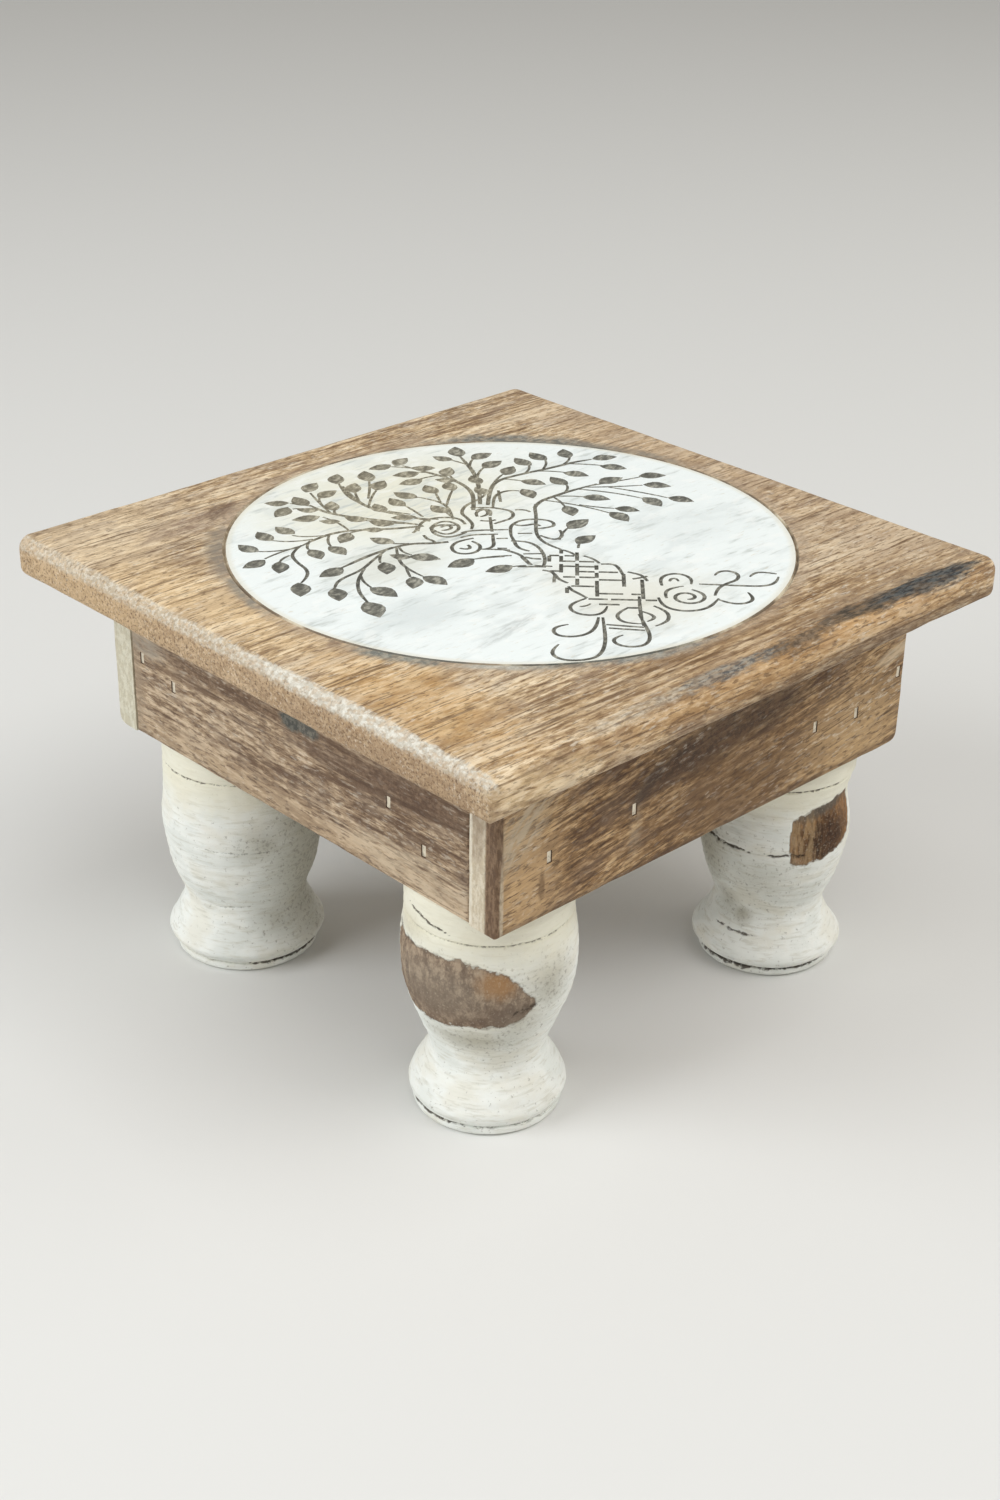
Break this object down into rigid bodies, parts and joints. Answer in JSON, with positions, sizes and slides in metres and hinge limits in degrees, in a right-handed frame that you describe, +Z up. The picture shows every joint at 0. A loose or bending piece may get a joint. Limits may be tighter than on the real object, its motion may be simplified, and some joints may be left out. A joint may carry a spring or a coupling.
{
  "type": "altar table",
  "caption": "Low square altar table with an overhanging top, a nailed apron frame and stubby turned legs.",
  "frame": {"origin": "on the floor under the middle of the table", "axes": "+Z up, -Y the front, where the carved tree stands upright when it is read from there"},
  "size_m": [0.152, 0.152, 0.101],
  "materials": {
    "top_wood": "oiled golden hardwood with a whitewashed carved roundel",
    "apron_wood": "oiled mid-brown hardwood with whitewash in the grain",
    "block_wood": "unfinished sawn hardwood",
    "leg_wood": "chalky white paint worn through in patches",
    "brad_steel": "plain steel with whitewash over the heads",
    "screw_steel": "zinc plated"
  },
  "bodies": {
    "root": {"table_top": "top_wood", "front_apron_board": "apron_wood", "right_apron_board": "apron_wood", "back_apron_board": "apron_wood", "left_apron_board": "apron_wood", "front_board_brads": "brad_steel", "right_board_brads": "brad_steel", "back_board_brads": "brad_steel", "left_board_brads": "brad_steel", "front_left_corner_block": "block_wood", "front_right_corner_block": "block_wood", "back_left_corner_block": "block_wood", "back_right_corner_block": "block_wood", "front_left_leg": "leg_wood", "front_right_leg": "leg_wood", "back_left_leg": "leg_wood", "back_right_leg": "leg_wood", "front_left_top_screw": "screw_steel", "front_right_top_screw": "screw_steel", "back_left_top_screw": "screw_steel", "back_right_top_screw": "screw_steel"}
  },
  "joints": []
}
